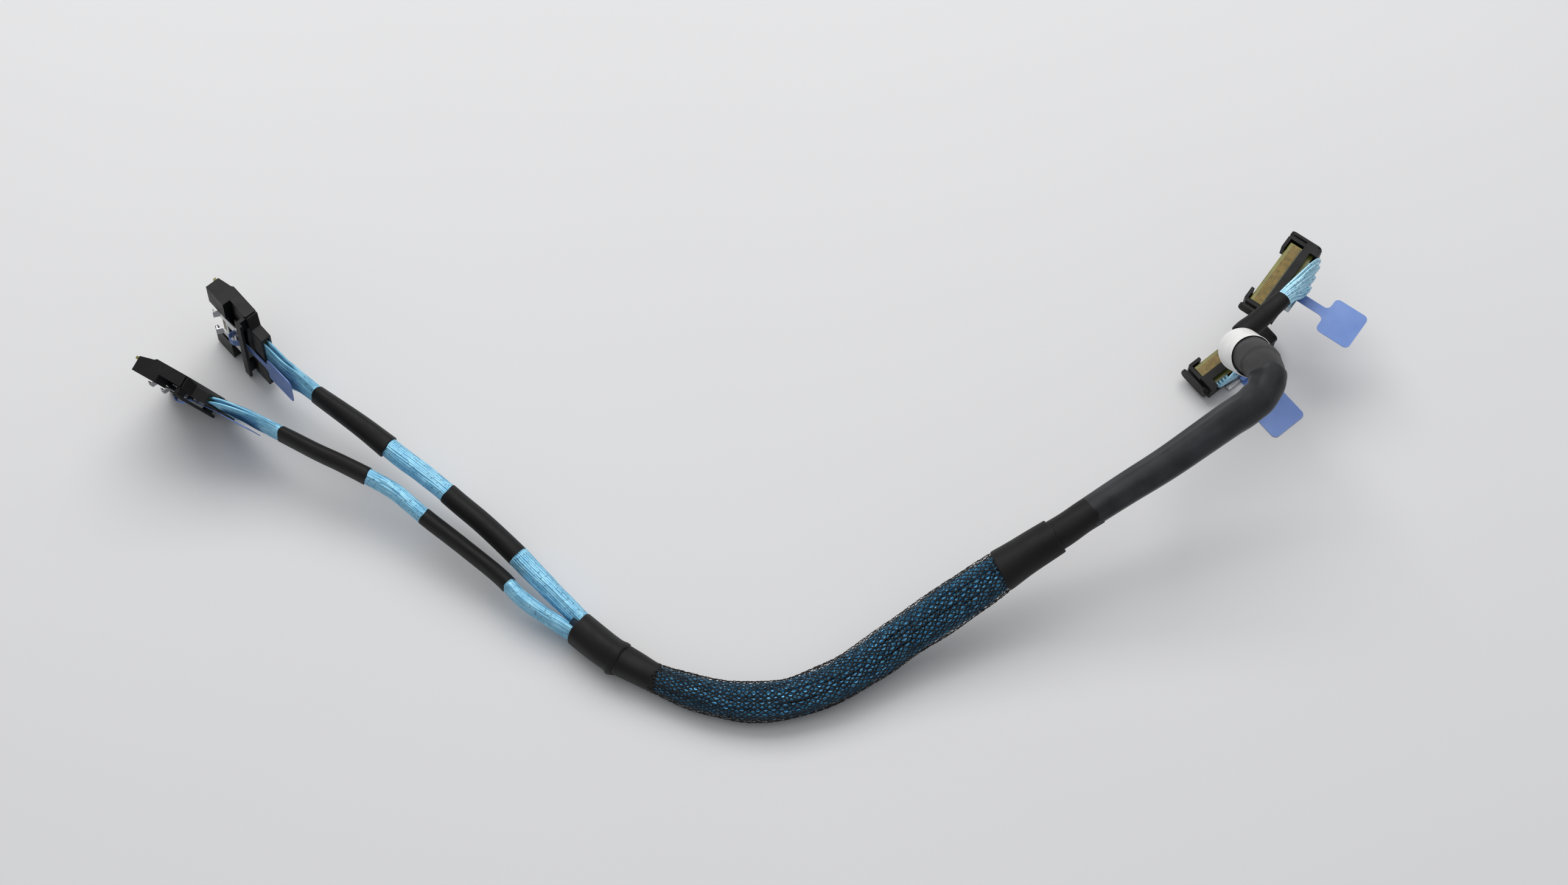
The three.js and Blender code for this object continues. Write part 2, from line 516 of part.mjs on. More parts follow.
// Trunk, from the split sleeve to the label
layout.add(cable('split_sleeve_outer', TRUNK_ROUTE, 0, 2, [10.2, 12], [10, 11], BLACK_SLEEVE));
layout.add(cable('split_sleeve_inner', TRUNK_ROUTE, 2, 4, [9.4, 10.4], [8.4, 9.2], BLACK_SLEEVE));
layout.add(cable('braided_sleeve', TRUNK_ROUTE, 4, 12, [9, 10.4], [13.2, 10.8], BLACK_MESH,
  { hollow: MESH_BORE, sides: 12 }));
layout.add(cable('trunk_wires', TRUNK_ROUTE, 4, 12, [7.2, 8.4], [11.0, 8.8], BLUE_WIRE, { sides: 12 }));
layout.add(cable('shrink_band', TRUNK_ROUTE, 12, 15, [12.2, 12], [10.8, 10.8], BLACK_SLEEVE));
layout.add(cable('inner_shrink_tube', TRUNK_ROUTE, 15, 16, [9.2, 9.2], [9.2, 9.2], BLACK_SLEEVE));
layout.add(cable('main_tube', TRUNK_ROUTE, 16, 22.5, [8.8, 8.8], [10.6, 10.6], BLACK_SLEEVE, { steps: 8 }));
layout.add(cable('cloth_tape', TRUNK_ROUTE, 22.5, 25, [10.8, 10.8], [11.6, 11.6], GREY_TAPE, { steps: 4 }));
layout.add(cable('wrap_label', TRUNK_ROUTE, 25, 28, [13.4, 13.4], [13.8, 13.8], WHITE_LABEL, { sides: 16 }));
layout.add(cable('branch_tube_up', BRANCH_UP, 0, 5, [6.4, 6.4], [5, 5], BLACK_SLEEVE));
layout.add(cable('branch_tube_down', BRANCH_DOWN, 0, 5, [5.4, 5.4], [5, 5], BLACK_SLEEVE));

// Flat ribbons fanning from the card plugs into their branch tubes, in each plug's own axes
const RIBBON_WIDTH = 4.2;
const RIBBON_THICKNESS = 1;
const RIBBONS_UP = [
  [[8.0, -3.9, 0], [8.0, -6.0, 0.9], [7.4, -7.9, 3.2], [5.0, -8.2, 5.6], [0.6, -7.0, 7.6], [-7.6, -4.75, 8.2]],
  [[2.9, -3.9, 0], [2.9, -6.2, 0.8], [2.3, -8.4, 2.2], [0.4, -8.6, 4.0], [-2.6, -6.6, 6.1], [-7.6, -4.75, 6.8]],
  [[-2.2, -3.9, 0], [-2.2, -6.2, 0.5], [-2.6, -8.2, 1.4], [-3.8, -8.4, 2.6], [-5.0, -6.9, 4.3], [-7.6, -4.9, 5.4]],
];
const RIBBONS_DOWN = [
  [[8.2, -3.9, 0], [8.2, -5.8, 0.9], [7.2, -7.0, 2.0], [5.2, -6.9, 3.2], [3.2, -6.4, 4.6], [1.6, -5.8, 6.4]],
  [[-8.2, -3.9, 0], [-8.2, -5.8, 0.9], [-7.2, -7.0, 2.0], [-5.2, -6.9, 3.2], [-3.2, -6.4, 4.6], [-1.4, -5.8, 6.4]],
];

function ribbons(plug, paths, label) {
  const fan = new THREE.Group();
  paths.forEach((points, i) => {
    const size = [RIBBON_WIDTH, RIBBON_THICKNESS];
    fan.add(cable(`${label}_${i + 1}`, route(points), 0, points.length - 1, size, size, BLUE_WIRE,
      { flat: true, steps: 8 }));
  });
  fan.position.set(plug.x, plug.y, plug.z);
  fan.rotation.z = THREE.MathUtils.degToRad(plug.heading);
  return fan;
}
layout.add(ribbons(EDGE_PLUGS[0], RIBBONS_UP, 'ribbon_up'));
layout.add(ribbons(EDGE_PLUGS[1], RIBBONS_DOWN, 'ribbon_down'));

const group = new THREE.Group();
group.add(layout);
export default group;
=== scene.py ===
import math

import bpy
import numpy as np
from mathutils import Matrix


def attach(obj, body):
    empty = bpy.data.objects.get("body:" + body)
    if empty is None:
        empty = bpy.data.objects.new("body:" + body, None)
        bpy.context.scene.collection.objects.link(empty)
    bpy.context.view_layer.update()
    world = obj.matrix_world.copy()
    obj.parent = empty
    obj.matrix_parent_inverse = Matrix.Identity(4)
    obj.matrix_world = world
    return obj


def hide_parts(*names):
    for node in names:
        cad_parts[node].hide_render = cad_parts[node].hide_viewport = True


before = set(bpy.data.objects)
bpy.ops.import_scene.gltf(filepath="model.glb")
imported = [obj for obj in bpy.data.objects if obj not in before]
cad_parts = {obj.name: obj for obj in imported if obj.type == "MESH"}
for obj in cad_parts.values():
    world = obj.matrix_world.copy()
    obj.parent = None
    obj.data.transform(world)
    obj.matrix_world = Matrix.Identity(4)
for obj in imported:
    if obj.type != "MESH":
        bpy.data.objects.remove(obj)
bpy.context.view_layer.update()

# Layout sizes are in millimetres, as in the CAD source; SHIFT moves the layout into the row frame
MM = 0.001
SHIFT = np.array([8.53, 15.6, -0.02])
UP = np.array([0.0, 0.0, 1.0])
GAP = 0.3
RNG = np.random.default_rng(11)


def metres(points):
    return (np.asarray(points, float) + SHIFT) * MM


# Camera: the image is 2576 x 1454 pixels
IMAGE_WIDTH = 2576
FOCAL_PIXELS = 4807
SENSOR = 36
CAMERA_DISTANCE = 880
CAMERA_ELEVATION = math.radians(68)

camera = bpy.data.objects.new("camera", bpy.data.cameras.new("camera"))
bpy.context.scene.collection.objects.link(camera)
camera.data.sensor_fit = "HORIZONTAL"
camera.data.sensor_width = SENSOR
camera.data.lens = SENSOR * FOCAL_PIXELS / IMAGE_WIDTH
camera.data.clip_start = 0.05
camera.location = metres([0, -CAMERA_DISTANCE * math.cos(CAMERA_ELEVATION),
                          CAMERA_DISTANCE * math.sin(CAMERA_ELEVATION)])
camera.rotation_euler = (math.pi / 2 - CAMERA_ELEVATION, 0, 0)
bpy.context.scene.camera = camera


# Smooth lines through given points, measured along their length
class Route:
    STEPS = 20

    def __init__(self, points, up=UP):
        p = np.array(points, float)
        q = np.vstack([2 * p[0] - p[1], p, 2 * p[-1] - p[-2]])
        t = np.linspace(0, 1, self.STEPS, endpoint=False)[:, None]
        lines = []
        for i in range(len(p) - 1):
            p0, p1, p2, p3 = q[i:i + 4]
            pairs = ((p0, p1), (p1, p2), (p2, p3))
            d0, d1, d2 = (math.sqrt(np.linalg.norm(b - a)) for a, b in pairs)
            m1 = ((p1 - p0) / d0 - (p2 - p0) / (d0 + d1) + (p2 - p1) / d1) * d1
            m2 = ((p2 - p1) / d1 - (p3 - p1) / (d1 + d2) + (p3 - p2) / d2) * d1
            lines.append(p1 + m1 * t + (3 * (p2 - p1) - 2 * m1 - m2) * t ** 2
                         + (2 * (p1 - p2) + m1 + m2) * t ** 3)
        self.line = np.vstack([*lines, p[-1:]])
        steps = np.linalg.norm(np.diff(self.line, axis=0), axis=1)
        self.along = np.concatenate([[0], np.cumsum(steps)])
        tangents = np.gradient(self.line, self.along, axis=0)
        self.tangents = tangents / np.linalg.norm(tangents, axis=1)[:, None]
        self.up = np.array(up, float)

    def mark(self, point):
        return self.along[round(point * self.STEPS)]

    def interpolate(self, values, s):
        return np.stack([np.interp(s, self.along, values[:, k]) for k in range(3)], axis=-1)

    def frames(self, s, up=None):
        """Middle, side and rise at each distance; past its ends the line runs on straight."""
        centre = self.interpolate(self.line, s)
        tangent = unit(self.interpolate(self.tangents, s))
        beyond = s - np.clip(s, 0, self.along[-1])
        centre = centre + tangent * beyond[..., None]
        side = unit(np.cross(self.up if up is None else up, tangent))
        return centre, side, np.cross(tangent, side)


def unit(v):
    return v / np.linalg.norm(v, axis=-1, keepdims=True)


def turned(axis, degrees):
    c, s = math.cos(math.radians(degrees)), math.sin(math.radians(degrees))
    if axis == "x":
        return np.array([[1, 0, 0], [0, c, -s], [0, s, c]])
    return np.array([[c, -s, 0], [s, c, 0], [0, 0, 1]])


# Each plug's place and axes in the layout
SLIM_PLUGS = [
    (np.array([-172.4, 33.5, 0.65]), turned("z", -48) @ turned("x", -5)),
    (np.array([-186.0, 16.7, 0.05]), turned("z", -30.5) @ turned("x", 14)),
]
EDGE_PLUGS = [
    (np.array([148.1, 41.0, 28.5]), turned("z", 54)),
    (np.array([135.4, 26.1, 4.7]), turned("z", 39)),
]


def from_plug(plug, points):
    place, axes = plug
    return np.asarray(points, float) @ axes.T + place


LEG_A = Route([
    *from_plug(SLIM_PLUGS[0], [[22.65, 4.7, 17], [29.8, 4.7, 17]]),
    [-143.6, 12.6, 17], [-138, 8.3, 16.5], [-131.2, 3.4, 16],
    [-123.2, -2.4, 15.5], [-113.8, -9.8, 14.6], [-108.5, -13.8, 14], [-101.3, -19.3, 13],
    [-95.8, -24.0, 12.3], [-88, -30.4, 11.3], [-79.3, -38.4, 10], [-74.6, -43.2, 9.2],
    [-67.2, -50.6, 8.2], [-60.3, -57.4, 7.2],
])
LEG_B = Route([
    *from_plug(SLIM_PLUGS[1], [[22.65, 4.7, 17], [29.8, 4.7, 17]]),
    [-153.8, -1.2, 17.2], [-147.9, -4.2, 17], [-137.6, -9.6, 16.5],
    [-129.7, -13.2, 16], [-120.2, -18, 15.3], [-114, -21.6, 14.6], [-108.5, -26.2, 13.9],
    [-104.3, -29.6, 13.2], [-94, -37.4, 12], [-82, -47.0, 10.4], [-77, -52.2, 9.5],
    [-70.3, -57.0, 8.0], [-63.4, -61.3, 6.8],
])
TRUNK = Route([
    [-61.6, -59.6, 7.0], [-53.5, -66.2, 6.7], [-48.7, -69.6, 6.4], [-42.8, -72.8, 6.1], [-36.6, -76.0, 5.8],
    [-23.5, -80.6, 5.5], [-10.4, -82.8, 5.6], [1.6, -82.0, 6.0], [15.1, -77.2, 7.2],
    [24.8, -71.7, 8.8], [33.9, -65.6, 10.9], [44.8, -58.9, 13.8], [55.6, -52.2, 17.0],
    [62.7, -47.8, 19.3], [71, -42.8, 22.0], [79.4, -38.0, 24.6], [87.4, -33.2, 27],
    [98.4, -27.0, 31], [109.7, -20.9, 35.2], [120.0, -14.9, 40], [127.2, -10.8, 44],
    [132.4, -8.2, 47.4], [136.2, -4.9, 50.2], [137.6, -0.8, 51.2], [136.8, 3.4, 50.0],
    [135.4, 7.2, 46.6], [134.4, 10.2, 42.2], [133.9, 13.2, 37.4], [133.6, 16.2, 32.4],
])
BRANCH_UP = Route([
    [134.0, 21.0, 31.8], [135.4, 22.6, 31.6], [137.7, 24.3, 32.3], [140.5, 26.4, 33.6], [143.6, 28.8, 34.8],
    [147.0, 31.7, 35.4],
])
BRANCH_DOWN = Route([
    [133.7, 14.1, 30.1], [133.9, 15.4, 28.2], [134.8, 17.6, 24.6], [136.2, 19.6, 20], [137.8, 20.9, 15.8],
    [139.0, 21.6, 12.4],
], up=(0.777, 0.629, 0))


# Finishes
def srgb(*channels):
    """A linear colour from three levels of 0 to 255."""
    linear = [c / 255 / 12.92 if c <= 10 else ((c / 255 + 0.055) / 1.055) ** 2.4 for c in channels]
    return (*linear, 1)


class Finish:
    """A node material whose colour, roughness and bump come from procedural textures."""

    def __init__(self, name, dark, light, rough, metallic=0.0, sheen=0.0, coat=0.0, specular=0.5):
        self.material = bpy.data.materials.new(name)
        self.material.use_nodes = True
        self.tree = self.material.node_tree
        self.shader = self.tree.nodes["Principled BSDF"]
        self.shader.inputs["Metallic"].default_value = metallic
        self.shader.inputs["Sheen Weight"].default_value = sheen
        self.shader.inputs["Coat Weight"].default_value = coat
        self.shader.inputs["Specular IOR Level"].default_value = specular
        coordinates = self.add("ShaderNodeTexCoord")
        self.place = coordinates.outputs["Object"]
        self.along = coordinates.outputs["UV"]
        self.dark, self.light, self.rough = dark, light, rough
        self.height = None

    def add(self, kind, **inputs):
        node = self.tree.nodes.new(kind)
        for key, value in inputs.items():
            socket = node.inputs[key.replace("_", " ")]
            if hasattr(value, "is_output"):
                self.tree.links.new(value, socket)
            else:
                socket.default_value = value
        return node

    def noise(self, size, detail=3.0, stretch=None, source=None):
        place = source or self.place
        if stretch:
            place = self.add("ShaderNodeMapping", Vector=place, Scale=stretch).outputs["Vector"]
        return self.add("ShaderNodeTexNoise", Vector=place, Scale=1 / size, Detail=detail).outputs["Fac"]

    def maths(self, operation, a, b=None):
        node = self.tree.nodes.new("ShaderNodeMath")
        node.operation = operation
        for socket, value in zip(node.inputs, (a, b)):
            if hasattr(value, "is_output"):
                self.tree.links.new(value, socket)
            elif value is not None:
                socket.default_value = value
        return node.outputs["Value"]

    def ramp(self, factor, stops):
        node = self.add("ShaderNodeValToRGB", Fac=factor)
        while len(node.color_ramp.elements) < len(stops):
            node.color_ramp.elements.new(0.5)
        for element, (position, colour) in zip(node.color_ramp.elements, stops):
            element.position, element.color = position, colour
        return node.outputs["Color"]

    def mix(self, factor, a, b):
        node = self.tree.nodes.new("ShaderNodeMix")
        node.data_type = "RGBA"
        for socket, value in zip((node.inputs[0], node.inputs[6], node.inputs[7]), (factor, a, b)):
            if hasattr(value, "is_output"):
                self.tree.links.new(value, socket)
            else:
                socket.default_value = value
        return node.outputs[2]

    def colour(self, blotch, spread=0.18):
        """The mottled base colour, from dark to light over patches of that size."""
        return self.ramp(self.noise(blotch, 4.0), [(0.5 - spread, self.dark), (0.5 + spread, self.light)])

    def raise_by(self, value, depth):
        """Adds a bump of that depth in metres."""
        bump = self.add("ShaderNodeBump", Height=value, Distance=depth, Strength=1.0)
        if self.height is not None:
            self.tree.links.new(self.height, bump.inputs["Normal"])
        self.height = bump.outputs["Normal"]

    def done(self, colour, patch=0.004, spread=0.12):
        self.tree.links.new(colour, self.shader.inputs["Base Color"])
        rough = self.add("ShaderNodeMapRange", Value=self.noise(patch), To_Min=self.rough - spread,
                         To_Max=self.rough + spread)
        self.tree.links.new(rough.outputs["Result"], self.shader.inputs["Roughness"])
        if self.height is not None:
            self.tree.links.new(self.height, self.shader.inputs["Normal"])
        return self.material


def plastic_finish(name):
    f = Finish(name, srgb(9, 9, 10), srgb(17, 17, 19), 0.5, specular=0.25)
    f.raise_by(f.noise(0.00035, 2.0), 0.00003)
    f.raise_by(f.noise(0.004, 2.0), 0.00006)
    return f.done(f.colour(0.006))


def steel_finish(name):
    f = Finish(name, srgb(150, 152, 155), srgb(205, 207, 210), 0.28, metallic=1.0)
    brushed = f.noise(0.0006, 2.0, stretch=(1, 9, 1))
    f.raise_by(brushed, 0.00002)
    return f.done(f.ramp(brushed, [(0.3, f.dark), (0.7, f.light)]))


def card_finish(name):
    f = Finish(name, srgb(98, 98, 34), srgb(134, 130, 52), 0.42, coat=0.15)
    glass = f.noise(0.0005, 2.0, stretch=(1, 6, 1))
    f.raise_by(glass, 0.00002)
    return f.done(f.mix(0.35, f.colour(0.003), f.ramp(glass, [(0.3, f.dark), (0.7, f.light)])))


def mask_finish(name, dark, light):
    f = Finish(name, dark, light, 0.45)
    f.raise_by(f.noise(0.0004, 2.0), 0.00001)
    return f.done(f.colour(0.0012))


def gold_finish(name):
    f = Finish(name, srgb(88, 70, 30), srgb(126, 100, 46), 0.42, metallic=0.4)
    f.raise_by(f.noise(0.0003, 2.0), 0.00001)
    return f.done(f.colour(0.0015))


def film_finish(name):
    f = Finish(name, srgb(96, 130, 200), srgb(112, 146, 212), 0.38, specular=0.4)
    f.raise_by(f.noise(0.007, 1.0), 0.0002)
    f.raise_by(f.noise(0.0006, 2.0), 0.000012)
    return f.done(f.colour(0.012))


def wire_finish(name, dark, light, marks=True, tick=2.3, metallic=0.3, rough=0.34):
    """Metallic blue foil-backed film with faint wrap lines and short dark print marks along it."""
    f = Finish(name, dark, light, rough, metallic=metallic, coat=0.15)
    split = f.add("ShaderNodeSeparateXYZ", Vector=f.along)
    length, around = split.outputs["X"], split.outputs["Y"]
    f.raise_by(f.noise(0.5, 2.0, stretch=(0.25, 1, 1), source=f.along), 0.00005)
    colour = f.colour(0.003)
    if marks:
        lane = f.maths("LESS_THAN", f.maths("ABSOLUTE", f.maths("SUBTRACT", around, 0.25)), 0.09)
        row = f.maths("LESS_THAN", f.maths("FRACT", f.maths("DIVIDE", length, tick)), 0.28)
        gaps = f.maths("GREATER_THAN", f.noise(0.9, 0.0, stretch=(1, 0, 0), source=f.along), 0.52)
        mark = f.maths("MULTIPLY", f.maths("MULTIPLY", lane, row), gaps)
        colour = f.mix(f.maths("MULTIPLY", mark, 0.6), colour, srgb(30, 62, 92))
    return f.done(colour, spread=0.08)


def shrink_finish(name, dark=srgb(11, 11, 12), light=srgb(19, 19, 20), rough=0.6):
    f = Finish(name, dark, light, rough, sheen=0.04, specular=0.28)
    f.raise_by(f.noise(0.00045, 3.0), 0.00004)
    f.raise_by(f.noise(0.9, 2.0, stretch=(0.12, 6, 1), source=f.along), 0.00012)
    return f.done(f.colour(0.008))


def braid_finish(name):
    f = Finish(name, srgb(6, 7, 9), srgb(15, 17, 20), 0.45, specular=0.35)
    f.raise_by(f.noise(0.0004, 2.0), 0.00002)
    return f.done(f.colour(0.002))


def tape_finish(name):
    """Woven cloth tape: threads along and around, with fuzz and faded patches, and painted shade in the gaps
    between the threads.
    """
    f = Finish(name, srgb(38, 38, 40), srgb(58, 58, 60), 0.85, sheen=0.12)
    split = f.add("ShaderNodeSeparateXYZ", Vector=f.along)
    threads = []
    for axis, count in (("X", 16.0), ("Y", 680.0)):
        wave = f.maths("SINE", f.maths("MULTIPLY", split.outputs[axis], count))
        threads.append(f.maths("ABSOLUTE", wave))
    weave = f.maths("MAXIMUM", *threads)
    f.raise_by(weave, 0.00009)
    f.raise_by(f.noise(0.002, 3.0), 0.00012)
    # Painted shade: the colour darkens with the weave's height, so the gaps between the threads look shaded
    painted_gap_shade = f.ramp(weave, [(0.2, srgb(30, 30, 32)), (0.9, srgb(62, 62, 64))])
    return f.done(f.mix(0.55, f.colour(0.004), painted_gap_shade))


def paper_finish(name):
    f = Finish(name, srgb(232, 232, 232), srgb(244, 244, 243), 0.55, coat=0.15)
    f.raise_by(f.noise(0.0005, 4.0), 0.00002)
    f.raise_by(f.noise(0.006, 2.0), 0.00015)
    return f.done(f.colour(0.005))


def floor_finish(name):
    f = Finish(name, srgb(226, 227, 229), srgb(229, 230, 232), 0.85, specular=0.1)
    return f.done(f.colour(0.4))


PLASTIC = plastic_finish("moulded_black_plastic")
STEEL = steel_finish("latch_steel")
CARD = card_finish("circuit_board")
GOLD = gold_finish("contact_gold")
MASK = mask_finish("dark_board_strip", srgb(30, 44, 22), srgb(44, 58, 28))
VIA = mask_finish("via_rims", srgb(96, 108, 84), srgb(126, 134, 104))
FILM = film_finish("blue_film")
WIRE = wire_finish("blue_wire", srgb(112, 180, 216), srgb(150, 212, 240))
FAN_WIRE = wire_finish("fan_wire", srgb(142, 196, 222), srgb(176, 222, 242), tick=1.5)
# Painted shade: the trunk's wires under the braid are the same blue wire as the legs, coloured darker for
# the braid's shade over them
INNER_WIRE_PAINTED_SHADE = wire_finish("inner_wire_painted_shade", srgb(40, 104, 146), srgb(88, 168, 214), marks=False, metallic=0.55,
                         rough=0.27)
# Painted shade: the middle of each bundle is more blue wire, coloured near black so the gaps between the
# outer wires look shaded
PAINTED_SHADE_CORE = shrink_finish("bundle_core_painted_shade", srgb(10, 26, 38), srgb(16, 40, 56))
SHRINK = shrink_finish("heat_shrink")
TUBE = shrink_finish("main_tube_sleeving", srgb(38, 39, 42), srgb(52, 54, 58), 0.5)
BRAID = braid_finish("braid_filament")
TAPE = tape_finish("cloth_tape")
PAPER = paper_finish("paper_label")
FLOOR = floor_finish("pale_floor")


# Mesh making
def tube(rows, u=None, loop=False):
    """A part from rings of points: with loop the last ring joins the first, else both ends are capped."""
    rings, sides = rows.shape[:2]
    if u is None:
        middles = rows.mean(axis=1)
        steps = np.linalg.norm(np.diff(middles, axis=0), axis=1)
        u = np.concatenate([[0], np.cumsum(steps)])
    i = np.arange(rings if loop else rings - 1)[:, None] + np.zeros((1, sides), int)
    j = np.arange(sides)[None, :] + np.zeros((len(i), 1), int)
    i2, j2 = (i + 1) % rings, (j + 1) % sides
    faces = np.stack([i * sides + j, i * sides + j2, i2 * sides + j2, i2 * sides + j], -1).reshape(-1, 4)
    around, around2 = j / sides, (j + 1) / sides
    uvs = np.stack([np.stack([u[i], around], -1), np.stack([u[i], around2], -1),
                    np.stack([u[i2], around2], -1), np.stack([u[i2], around], -1)], -2).reshape(-1, 2)
    faces = faces.tolist()
    if not loop:
        last = (rings - 1) * sides
        faces += [list(range(sides))[::-1], [last + k for k in range(sides)]]
        uvs = np.vstack([uvs, np.zeros((2 * sides, 2))])
    return rows.reshape(-1, 3), faces, uvs


def block(plug, low, high):
    """A part: a box in a plug's own axes."""
    corners = [[x, y, z] for z in (low[2], high[2]) for x, y in
               ((low[0], low[1]), (high[0], low[1]), (high[0], high[1]), (low[0], high[1]))]
    return tube(from_plug(plug, corners).reshape(2, 4, 3))


def piece(name, parts, finish, slot, *nodes, smooth=True):
    points, faces, uvs, start = [], [], [], 0
    for p, f, uv in parts:
        points.append(p)
        faces += [[v + start for v in face] for face in f]
        uvs.append(uv)
        start += len(p)
    mesh = bpy.data.meshes.new(name)
    mesh.from_pydata(metres(np.vstack(points)).tolist(), [], faces)
    mesh.uv_layers.new(name="along_and_around").data.foreach_set("uv", np.vstack(uvs).ravel())
    mesh.polygons.foreach_set("use_smooth", [smooth] * len(mesh.polygons))
    mesh.materials.append(finish)
    thing = bpy.data.objects.new(name, mesh)
    bpy.context.scene.collection.objects.link(thing)
    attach(thing, "root")
    if nodes:
        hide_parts(*nodes)
    return thing


def section(route, s, theta, width, height):
    """Points at distance s and angle theta round an oval of that width and height."""
    centre, side, rise = route.frames(s)
    return (centre + side * (np.cos(theta) * width / 2)[..., None]
            + rise * (np.sin(theta) * height / 2)[..., None])


def spaced(low, high, step):
    return np.linspace(low, high, max(2, math.ceil((high - low) / step) + 1))


def lerp(a, b, t):
    return a + (b - a) * t


# Routes' stretches: each sleeve is a closed shell with rounded lips, and its surface is never quite even
def sleeve(name, route, start, end, size0, size1, finish, slot, nodes, wall=0.6, sides=56, step=0.7,
           bumps=None, cut0=None, cut1=None):
    s0, s1 = route.mark(start) + GAP / 2, route.mark(end) - GAP / 2
    lip = [(0, 0.8), (0, 0.45), (0.08, 0.15), (0.25, 0)]
    outer = [(s, 0) for s in spaced(s0 + 0.5, s1 - 0.5, step)]
    inner = [(s, 1) for s in spaced(s0 + 0.6, s1 - 0.6, 3)][::-1]
    stations = ([(s0 + a, b) for a, b in lip] + outer + [(s1 - a, b) for a, b in lip[::-1]]
                + [(s1 - 0.12, 1)] + inner + [(s0 + 0.12, 1)])
    s = np.array([a for a, _ in stations])[:, None] + np.zeros((1, sides))
    inset = np.array([b for _, b in stations])[:, None] * wall
    theta = np.linspace(0, 2 * math.pi, sides, endpoint=False)[None, :] + np.zeros_like(s)
    t = (s - s0) / (s1 - s0)
    swell = bumps(theta, s - s0, s1 - s) if bumps else 0
    reach = 3
    if cut0:
        s = s + cut0(theta) * np.clip(1 - (s - s0) / reach, 0, 1)
    if cut1:
        s = s + cut1(theta) * np.clip(1 - (s1 - s) / reach, 0, 1)
    grow = 2 * (swell - inset)
    width, height = (lerp(a, b, t) + grow for a, b in zip(size0, size1))
    rows = section(route, s, theta, width, height)
    return piece(name, [tube(rows, u=s[:, 0], loop=True)], finish, slot, *nodes)


def waves(amount, *terms):
    """A smooth unevenness: each term is lobes round the tube, waves per millimetre and a phase."""
    def height(theta, s, rest):
        total = sum(np.sin(lobes * theta + rate * s + phase) for lobes, rate, phase in terms)
        return amount * total / len(terms)
    return height


def ragged(amount, seed):
    """An uneven cut across a sleeve's end: amount scales how far it wanders along the sleeve."""
    rng = np.random.default_rng(seed)
    phases = rng.uniform(0, 2 * math.pi, 6)
    return lambda theta: amount * sum(np.sin((k + 1) * theta + phases[k]) / (k + 1) for k in range(6))


def oval(width, thick, sides=8):
    angle = np.linspace(0, 2 * math.pi, sides, endpoint=False)
    c, s = np.cos(angle), np.sin(angle)
    flatten = 0.72
    return (np.sign(c) * abs(c) ** flatten * width / 2, np.sign(s) * abs(s) ** flatten * thick / 2)


def strand(centres, outward, width, thick, sides=8, offset=0.0):
    """One flat wire: its middle line, and the way its flat face looks at each point."""
    tangent = unit(np.gradient(centres, axis=0))
    lateral = unit(np.cross(outward, tangent))
    normal = np.cross(tangent, lateral)
    a, b = oval(width, thick, sides)
    rows = centres[:, None] + lateral[:, None] * a[None, :, None] + normal[:, None] * b[None, :, None]
    steps = np.linalg.norm(np.diff(centres, axis=0), axis=1)
    return tube(rows, u=offset + np.concatenate([[0], np.cumsum(steps)]))


def bundle(route, start, end, size0, size1, count, width, thick, loose, up0=None, rows_at_start=False,
           reach=(1.2, 1.2), start_shift=None, widths=None):
    """Flat wires side by side round an oval, each with its own slight wander.

    They run past both marks by reach, but not past the route's first point. At the start they can be
    turned to up0, laid in two rows and moved by start_shift, as in a plug. The oval's width goes from
    one size to the other, or follows widths at shares of the way.
    """
    s0, s1 = route.mark(start) - reach[0], route.mark(end) + reach[1]
    s = spaced(max(s0, 0.05), s1, 1.1)
    t = np.clip((s - route.mark(start)) / (route.mark(end) - route.mark(start)), 0, 1)
    up = None if up0 is None else lerp(up0, route.up, t[:, None])
    centre, side, rise = route.frames(s, up)
    half = count // 2
    parts = []
    for k in range(count):
        face = 1 if k < half else -1
        place = (k % half + 0.5) / half
        phi = (place - 0.5) * math.pi
        a, b = np.full(len(s), face * math.cos(phi)), np.full(len(s), math.sin(phi))
        if rows_at_start:
            blend = np.clip(t * 1.15, 0, 1) ** 0.8
            a, b = lerp(face, a, blend), lerp(2 * place - 1, b, blend)
        fade = np.sin(math.pi * np.clip((s - s0) / (s1 - s0), 0, 1)) ** 0.5
        phases = RNG.uniform(0, 2 * math.pi, 4)
        wander = [loose * fade * (np.sin(s * 0.21 + phases[i]) + 0.5 * np.sin(s * 0.53 + phases[i + 2]))
                  for i in range(2)]
        width_here = lerp(size0[0], size1[0], t) if widths is None else np.interp(t, *widths)
        half_width = width_here / 2 - thick / 2
        half_height = lerp(size0[1], size1[1], t) / 2 - thick / 2
        middle = (centre + side * (a * half_width + wander[0] * 0.7)[:, None]
                  + rise * (b * half_height + wander[1])[:, None])
        if start_shift is not None:
            middle = middle + start_shift * (np.clip(1 - t * 2.2, 0, 1) ** 1.5)[:, None]
        outward = unit(side * (a / np.maximum(half_width, 1))[:, None] + rise * (b / half_height)[:, None])
        parts.append(strand(middle, outward, width, thick, offset=RNG.uniform(0, 40)))
    return parts


def core(route, sizes):
    """The middle of a bundle over the whole route, which takes a dark finish as painted shade between the
    wires: sizes are (point, width, height).
    """
    s = spaced(0.05, route.along[-1], 1.2)
    marks = [route.mark(p) for p, _, _ in sizes]
    width = np.interp(s, marks, [w for _, w, _ in sizes])
    height = np.interp(s, marks, [h for _, _, h in sizes])
    theta = np.linspace(0, 2 * math.pi, 20, endpoint=False)[None, :] + np.zeros((len(s), 1))
    wobble = 1 + 0.04 * np.sin(5 * theta + s[:, None] * 0.3)
    s = s[:, None] + np.zeros_like(theta)
    return [tube(section(route, s, theta, width[:, None] * wobble, height[:, None] * wobble))]


def thin_path(route):
    s = spaced(0, route.along[-1], 3)
    return metres(route.interpolate(route.line, s)).tolist()


# Left legs
LEG_WIRES = 28
WIRE_WIDTH = 0.92
WIRE_THICK = 0.7
HOOD_DROP = -1.35


